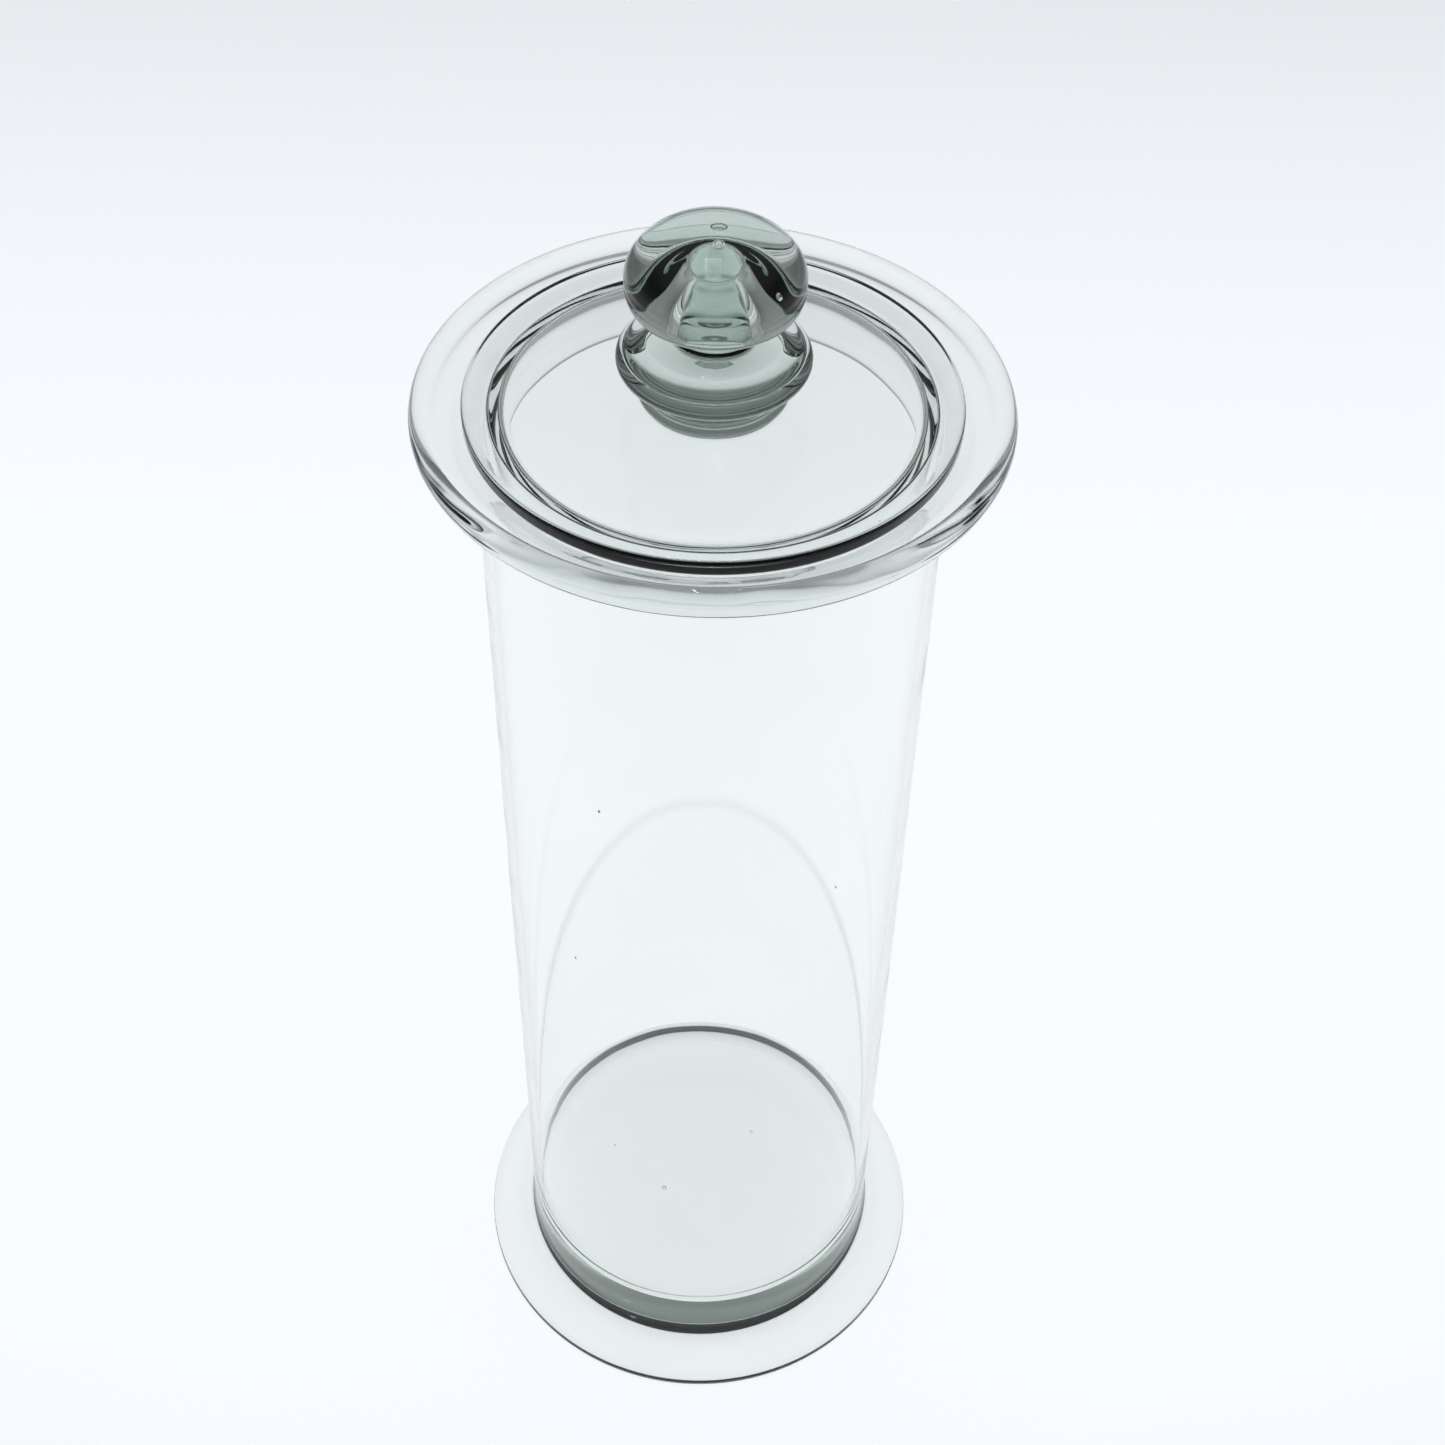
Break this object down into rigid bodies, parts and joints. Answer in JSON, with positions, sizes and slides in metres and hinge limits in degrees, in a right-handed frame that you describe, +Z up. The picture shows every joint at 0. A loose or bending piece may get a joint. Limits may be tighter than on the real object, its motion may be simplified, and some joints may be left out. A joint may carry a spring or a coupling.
{
  "type": "lidded glass canister",
  "caption": "Tall clear glass canister on a spread foot, with a wide rounded rim and a drop-in lid that lifts by a ball knob.",
  "frame": {"origin": "centre of the foot's underside, on the surface the canister stands on", "axes": "+Z up along the canister's axis, through the knob"},
  "size_m": [0.1434, 0.1434, 0.4],
  "materials": {
    "jar_glass": "clear blown glass",
    "rim_glass": "clear fire-polished glass",
    "foot_glass": "clear fire-polished glass",
    "lid_glass": "clear fire-polished glass",
    "knob_glass": "solid clear glass, grey-green in its depth"
  },
  "bodies": {
    "jar": {"jar_body": "jar_glass", "jar_rim": "rim_glass", "jar_foot": "foot_glass"},
    "lid": {"lid_plate": "lid_glass", "lid_collar": "lid_glass", "knob_pad": "knob_glass", "knob_merese": "knob_glass", "knob_ball": "knob_glass"}
  },
  "joints": [
    {"name": "lid_lift", "type": "slide", "parent": "jar", "child": "lid", "axis": [0, 0, 1], "range_m": [0, 0.12]}
  ]
}
